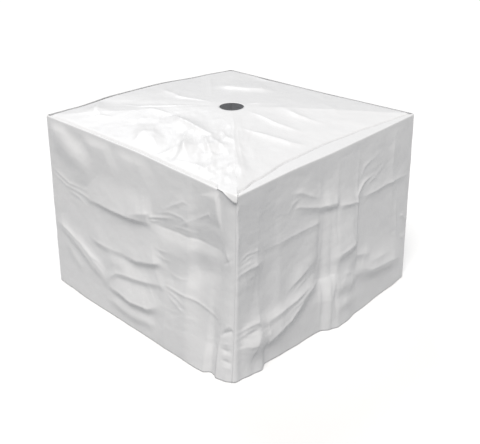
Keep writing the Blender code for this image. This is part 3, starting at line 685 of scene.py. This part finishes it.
def wall_points(wall, along, down, seed, sizes):
    """Points of a wall. Down is under 0 on its lap, and 0 to 1 from top edge to hem."""
    point, out = plan(wall, along)
    bow = read_table(wall.bow, along)
    lift = read_table(wall.lift, along)
    lap = read_table(wall.lap, along) * np.clip(-down, 0, 1)
    angle = np.clip(down / BEND_SHARE, 0, 1) * math.pi / 2
    share = np.clip((down - BEND_SHARE) / (1 - BEND_SHARE), 0, 1)
    above_ground = (1 - share) * (HEIGHT - TOP_EDGE)
    main, fine = panel_relief(
        wall.soft, wall.crisp, wall.patches, along, above_ground, seed, sizes)
    ends = np.minimum(along, WIDTH - along)
    main *= smooth(ends / CALM) * smooth(share * HEIGHT / TOP_CALM)
    fine *= smooth(ends / CRISP_CALM) * smooth(share * HEIGHT / CRISP_TOP_CALM)
    flare = 1 + (CORNERS[wall.start].flare - 1) * smooth((FLARE_REACH - along) / FLARE_FADE)
    flare += (CORNERS[wall.end].flare - 1) * smooth((FLARE_REACH - WIDTH + along) / FLARE_FADE)
    stand = bow * (1 - share) + read_table(wall.hem, along) * share ** flare + main + fine
    stand += TOP_EDGE * (np.sin(angle) - 1) - lap
    held = corner_slip(wall, along) * (1 - share)[:, None]
    drop = TOP_EDGE * (1 - np.cos(angle)) + share * (HEIGHT - TOP_EDGE)
    return point + held + out * stand[:, None] + upright(lift * (1 - share) - drop)


def ear_shares(wall, along):
    """The near corner's ear: its share of the full ear, and of its lift."""
    if wall.end == "front_left":
        from_tip, reach = WIDTH - along, EAR_BEFORE
    elif wall.start == "front_left":
        from_tip, reach = along, EAR_AFTER
    else:
        return np.zeros_like(along), np.zeros_like(along)
    return np.maximum(0.0, 1 - from_tip / reach), smooth(1 - (from_tip - reach) / EAR_RAMP)


def top_points(wall, along, share, sizes):
    """Points of the top, on lines from the hole's rim to its seam with a wall."""
    seam, out = seam_points(wall, along)
    ear, ear_lift = ear_shares(wall, along)
    lap = read_table(wall.lap, along) + TOP_EDGE
    under = np.minimum(UNDERLAP, lap / 2) * (1 - smooth(ear / EAR_OPENS))
    flat = (seam + out * under[:, None]) * np.array([1.0, 1.0, 0.0])
    ray = flat / np.linalg.norm(flat, axis=1)[:, None]
    rim = ray * HOLE / 2
    place = rim + (flat - rim) * share[:, None]
    main, fine = panel_relief(
        TOP_SOFT, TOP_CRISP, TOP_PATCHES, place[:, 0], place[:, 1], TOP_SEED, sizes)
    main *= smooth((1 - share) * MAIN_ENDS)
    fine *= smooth((1 - share) * CRISP_ENDS) * smooth(share * CRISP_ENDS)
    height = seam[:, 2] * share + TENT * (1 - share ** TENT_CURVE)
    height += main + fine
    height += EAR_LIFT * ear_lift * smooth((share - LIFT_STARTS) / LIFT_RUN)
    height -= SEAM_DIP * smooth((share - DIP_STARTS) / DIP_RUN) * (under > 0)
    reach = np.clip((share - EAR_STARTS) / (EAR_HANGS - EAR_STARTS), 0, 1)
    way = out if wall.end == "front_left" else ray
    place = place + way * (smooth(ear / EAR_OPENS) * (lap + EAR_PROUD * ear) * reach)[:, None]
    hang = np.clip((share - EAR_HANGS) / (1 - EAR_HANGS), 0, 1)
    height -= EAR_DROP * np.clip((ear - EAR_SAGS) / (1 - EAR_SAGS), 0, 1) * hang
    place[:, 2] = height
    return place


def new_grid(name, columns, rows):
    """A flat grid one unit square, with its cloth's own UV layer."""
    mesh = bpy.data.meshes.new(name)
    bm = bmesh.new()
    bm.loops.layers.uv.new("cloth")
    bmesh.ops.create_grid(bm, x_segments=columns, y_segments=rows, size=0.5)
    bm.to_mesh(mesh)
    bm.free()
    return mesh


def grid_places(mesh, columns, rows):
    """Column and row of each point of a grid."""
    flat = np.empty(len(mesh.vertices) * 3)
    mesh.vertices.foreach_get("co", flat)
    flat = flat.reshape(-1, 3)
    column = np.rint((flat[:, 0] + 0.5) * columns).astype(int)
    row = np.rint((0.5 - flat[:, 1]) * rows).astype(int)
    return column, row


def set_cloth_uv(mesh, first, second):
    """Lay the cloth's flat measure, in metres, on each point of a grid."""
    corner_vertex = np.empty(len(mesh.loops), dtype=int)
    mesh.loops.foreach_get("vertex_index", corner_vertex)
    uv = np.stack([first[corner_vertex], second[corner_vertex]], axis=1)
    mesh.uv_layers["cloth"].data.foreach_set("uv", uv.ravel())


def finish_sheet(name, mesh, material, sizes):
    """Turn a bent grid into a closed sheet of cloth, smooth shaded."""
    bm = bmesh.new()
    bm.from_mesh(mesh)
    bmesh.ops.remove_doubles(bm, verts=bm.verts, dist=MM / 100)
    bmesh.ops.recalc_face_normals(bm, faces=bm.faces)
    bm.to_mesh(mesh)
    bm.free()
    mesh.shade_smooth()
    piece = bpy.data.objects.new(name, mesh)
    bpy.context.scene.collection.objects.link(piece)
    piece.data.materials.append(material)
    solid = piece.modifiers.new("cloth", "SOLIDIFY")
    solid.thickness = sizes.thickness
    solid.offset = -1.0
    return piece


def declare(piece, node):
    """Ride of a sheet that stands for a solid, with that solid hidden."""
    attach(piece, "root")
    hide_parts(node)


def cloth_material(name, colours):
    """White coated cloth: a fine scrim under a soft, slightly worn coating."""
    material = bpy.data.materials.new(name)
    material.use_nodes = True
    nodes, links = material.node_tree.nodes, material.node_tree.links
    shader = nodes["Principled BSDF"]
    shader.inputs["Coat Weight"].default_value = COAT
    shader.inputs["Coat Roughness"].default_value = COAT_ROUGHNESS
    shader.inputs["IOR"].default_value = CLOTH_IOR
    place = nodes.new("ShaderNodeTexCoord")
    group = nodes.new("ShaderNodeGroup")
    group.node_tree = coated_cloth_group()
    group.inputs["Cloth"].default_value = (*colours.cloth, 1)
    group.inputs["Shade"].default_value = (*colours.shade, 1)
    links.new(place.outputs["Object"], group.inputs["Place"])
    links.new(place.outputs["UV"], group.inputs["Threads"])
    bump = nodes.new("ShaderNodeBump")
    bump.inputs["Strength"].default_value = BUMP_STRENGTH
    bump.inputs["Distance"].default_value = BUMP_DISTANCE
    links.new(group.outputs["Color"], shader.inputs["Base Color"])
    links.new(group.outputs["Roughness"], shader.inputs["Roughness"])
    links.new(group.outputs["Height"], bump.inputs["Height"])
    links.new(bump.outputs["Normal"], shader.inputs["Normal"])
    return material


def coated_cloth_group():
    """Node group with the coating's mottling, its fine wrinkles and the scrim's threads."""
    name = "coated_cloth"
    if name in bpy.data.node_groups:
        return bpy.data.node_groups[name]
    group = bpy.data.node_groups.new(name, "ShaderNodeTree")
    for socket, way, kind in SOCKETS:
        group.interface.new_socket(socket, in_out=way, socket_type="NodeSocket" + kind)
    nodes, links = group.nodes, group.links
    given = nodes.new("NodeGroupInput")
    result = nodes.new("NodeGroupOutput")

    def noise(scale, detail):
        node = nodes.new("ShaderNodeTexNoise")
        node.inputs["Scale"].default_value = scale
        node.inputs["Detail"].default_value = detail
        links.new(given.outputs["Place"], node.inputs["Vector"])
        return node.outputs["Fac"]

    def calculate(operation, *values):
        node = nodes.new("ShaderNodeMath")
        node.operation = operation
        for socket, value in zip(node.inputs, values):
            if isinstance(value, (int, float)):
                socket.default_value = value
            else:
                links.new(value, socket)
        return node.outputs["Value"]

    mix = nodes.new("ShaderNodeMix")
    mix.data_type = "RGBA"
    links.new(noise(*MOTTLING), mix.inputs["Factor"])
    links.new(given.outputs["Shade"], mix.inputs["A"])
    links.new(given.outputs["Cloth"], mix.inputs["B"])
    links.new(mix.outputs["Result"], result.inputs["Color"])

    roughness = calculate("MULTIPLY_ADD", noise(*RUBBING), *RUBBED_ROUGHNESS)
    links.new(roughness, result.inputs["Roughness"])

    threads = nodes.new("ShaderNodeSeparateXYZ")
    links.new(given.outputs["Threads"], threads.inputs["Vector"])
    turns = 2 * math.pi / THREAD_PITCH
    warp = calculate("SINE", calculate("MULTIPLY", threads.outputs["X"], turns))
    weft = calculate("SINE", calculate("MULTIPLY", threads.outputs["Y"], turns))
    weave = calculate("MULTIPLY", calculate("ADD", warp, weft), THREAD_HEIGHT)
    wrinkles = calculate("MULTIPLY", noise(*WRINKLES), WRINKLE_HEIGHT)
    links.new(calculate("ADD", weave, wrinkles), result.inputs["Height"])
    return group


def spread(ends, steps, near_start, near_end):
    """Even steps from 0 to the end, drawn closer together near either end that asks."""
    share = np.arange(steps + 1) / steps
    share = share - near_start * CROWDING * np.sin(math.pi * share) * (1 - share)
    share = share + near_end * CROWDING * np.sin(math.pi * share) * share
    return share * ends


def wall_columns(wall, steps):
    """Distances of a wall's columns along it, closer together at the near corner."""
    return spread(WIDTH, steps, wall.start == "front_left", wall.end == "front_left")


def make_wall(wall, seed, material, sizes):
    """One wall of the cover, from its lap on the top to its hem."""
    cell = wall.cell * sizes.coarse
    lap_rows = max(2, round(max(row[1] for row in wall.lap) * MM / cell))
    fall_rows = round(HEIGHT / cell)
    downs = [-1 + row / lap_rows for row in range(lap_rows)]
    downs += [BEND_SHARE * row / BEND_ROWS for row in range(BEND_ROWS)]
    downs += [BEND_SHARE + (1 - BEND_SHARE) * row / fall_rows for row in range(fall_rows + 1)]
    columns = round(WIDTH / cell)
    rows = len(downs) - 1
    mesh = new_grid(wall.name, columns, rows)
    column, row = grid_places(mesh, columns, rows)
    along = wall_columns(wall, columns)[column]
    down = np.array(downs)[row]
    points = wall_points(wall, along, down, seed, sizes)
    mesh.vertices.foreach_set("co", points.ravel())
    set_cloth_uv(mesh, along, -down * HEIGHT)
    piece = finish_sheet("cloth_" + wall.name, mesh, material, sizes)
    declare(piece, wall.name)


def make_top(material, sizes):
    """The square top, as a fan from the rim of its hole to its seams."""
    per_wall = round(TOP_COLUMNS / sizes.coarse)
    inner_rings = round(TOP_INNER_RINGS / sizes.coarse)
    edge_rings = round(TOP_EDGE_RINGS / sizes.coarse)
    inner = EAR_STARTS * np.arange(inner_rings) / inner_rings
    edge = EAR_STARTS + (1 - EAR_STARTS) * np.arange(edge_rings + 1) / edge_rings
    shares = np.concatenate([inner, edge])
    rings = len(shares) - 1
    columns = per_wall * len(WALLS)
    mesh = new_grid("top", columns, rings)
    column, row = grid_places(mesh, columns, rings)
    column = column % columns
    points = np.zeros((len(column), 3))
    share = shares[rings - row]
    for number, wall in enumerate(WALLS):
        mine = column // per_wall == number
        along = wall_columns(wall, per_wall)[column[mine] % per_wall]
        points[mine] = top_points(wall, along, share[mine], sizes)
    mesh.vertices.foreach_set("co", points.ravel())
    set_cloth_uv(mesh, points[:, 0], points[:, 1])
    piece = finish_sheet("cloth_top", mesh, material, sizes)
    declare(piece, "top_panel")


class COVER_OT_top(bpy.types.Operator):
    """Make the square top with its hole and the ear at its near corner"""

    bl_idname = "cover.top"
    bl_label = "Top"

    def execute(self, context):
        sizes, colours = context.scene.cover_sizes, context.scene.cover_colours
        make_top(cloth_material("coated_cloth_top", colours), sizes)
        return {"FINISHED"}


class COVER_OT_walls(bpy.types.Operator):
    """Make the four walls with their folds and creases"""

    bl_idname = "cover.walls"
    bl_label = "Walls"

    def execute(self, context):
        sizes, colours = context.scene.cover_sizes, context.scene.cover_colours
        material = cloth_material("coated_cloth_walls", colours)
        for number, wall in enumerate(WALLS):
            make_wall(wall, WALL_SEED + WALL_SEED_STEP * number, material, sizes)
        return {"FINISHED"}


class COVER_OT_stage(bpy.types.Operator):
    """Make the floor, the soft light and the camera"""

    bl_idname = "cover.stage"
    bl_label = "Stage"

    def execute(self, context):
        sizes, colours = context.scene.cover_sizes, context.scene.cover_colours
        make_floor(sizes, colours)
        make_light(colours)
        make_camera()
        return {"FINISHED"}


def make_floor(sizes, colours):
    """A plain pale floor under the hem."""
    bm = bmesh.new()
    bmesh.ops.create_grid(bm, x_segments=1, y_segments=1, size=sizes.floor / 2)
    bmesh.ops.translate(bm, verts=bm.verts, vec=(0, 0, CAD_LOW.z - MM))
    mesh = bpy.data.meshes.new("floor")
    bm.to_mesh(mesh)
    bm.free()
    floor = bpy.data.objects.new("floor", mesh)
    bpy.context.scene.collection.objects.link(floor)
    material = bpy.data.materials.new("floor")
    material.use_nodes = True
    shader = material.node_tree.nodes["Principled BSDF"]
    shader.inputs["Base Color"].default_value = (*colours.floor, 1)
    shader.inputs["Roughness"].default_value = FLOOR_ROUGHNESS
    shader.inputs["Specular IOR Level"].default_value = FLOOR_SHINE
    mesh.materials.append(material)
    floor.visible_diffuse = False


def add_sun(sun):
    """A far, soft light, in a direction from the cover."""
    lamp = bpy.data.lights.new(sun.name, "SUN")
    lamp.energy = sun.strength
    lamp.color = sun.tint
    lamp.angle = math.radians(sun.softness)
    light = bpy.data.objects.new(sun.name, lamp)
    light.rotation_euler = Vector(sun.way).to_track_quat("Z", "Y").to_euler()
    bpy.context.scene.collection.objects.link(light)


def make_light(colours):
    """A key light high on the camera's side, a weak one behind, and an even surround."""
    world = bpy.data.worlds.new("studio")
    world.use_nodes = True
    back = world.node_tree.nodes["Background"]
    back.inputs["Color"].default_value = (*colours.sky, 1)
    back.inputs["Strength"].default_value = SKY_STRENGTH
    bpy.context.scene.world = world
    for sun in SUNS:
        add_sun(sun)


def make_camera():
    """The camera at the picture's angle, with the cover as large as it is there."""
    lens = bpy.data.cameras.new("camera")
    lens.sensor_width = SENSOR
    lens.lens = FOCAL_PIXELS * SENSOR / PICTURE_WIDTH
    camera = bpy.data.objects.new("camera", lens)
    back = Vector((math.sin(AZIMUTH) * math.cos(ELEVATION),
                   -math.cos(AZIMUTH) * math.cos(ELEVATION), math.sin(ELEVATION)))
    right = Vector((math.cos(AZIMUTH), math.sin(AZIMUTH), 0))
    up = back.cross(right)
    place = Matrix((right, up, back)).transposed().to_4x4()
    place.translation = (Vector((0, 0, -HEIGHT / 2)) + back * DISTANCE
                         + right * AIM_RIGHT + up * AIM_UP)
    camera.matrix_world = place
    bpy.context.scene.collection.objects.link(camera)
    bpy.context.scene.camera = camera


class COVER_PT_panel(bpy.types.Panel):
    """Sizes, colours and steps of the cover"""

    bl_label = "Ballast block cover"
    bl_idname = "COVER_PT_panel"
    bl_space_type = "VIEW_3D"
    bl_region_type = "UI"
    bl_category = "Cover"

    def draw(self, context):
        for group in (context.scene.cover_sizes, context.scene.cover_colours):
            for name in group.__annotations__:
                self.layout.prop(group, name)
        for operator in STEPS:
            self.layout.operator(operator.bl_idname)


STEPS = (COVER_OT_stage, COVER_OT_top, COVER_OT_walls)
CLASSES = (CoverSizes, CoverColours, *STEPS, COVER_PT_panel)


def register():
    for item in CLASSES:
        bpy.utils.register_class(item)
    bpy.types.Scene.cover_sizes = PointerProperty(type=CoverSizes)
    bpy.types.Scene.cover_colours = PointerProperty(type=CoverColours)


def unregister():
    del bpy.types.Scene.cover_sizes
    del bpy.types.Scene.cover_colours
    for item in reversed(CLASSES):
        bpy.utils.unregister_class(item)


def main():
    register()
    bpy.context.scene.view_settings.view_transform = "Standard"
    bpy.ops.cover.stage()
    bpy.ops.cover.top()
    bpy.ops.cover.walls()
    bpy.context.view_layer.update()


if __name__ == "__main__":
    main()
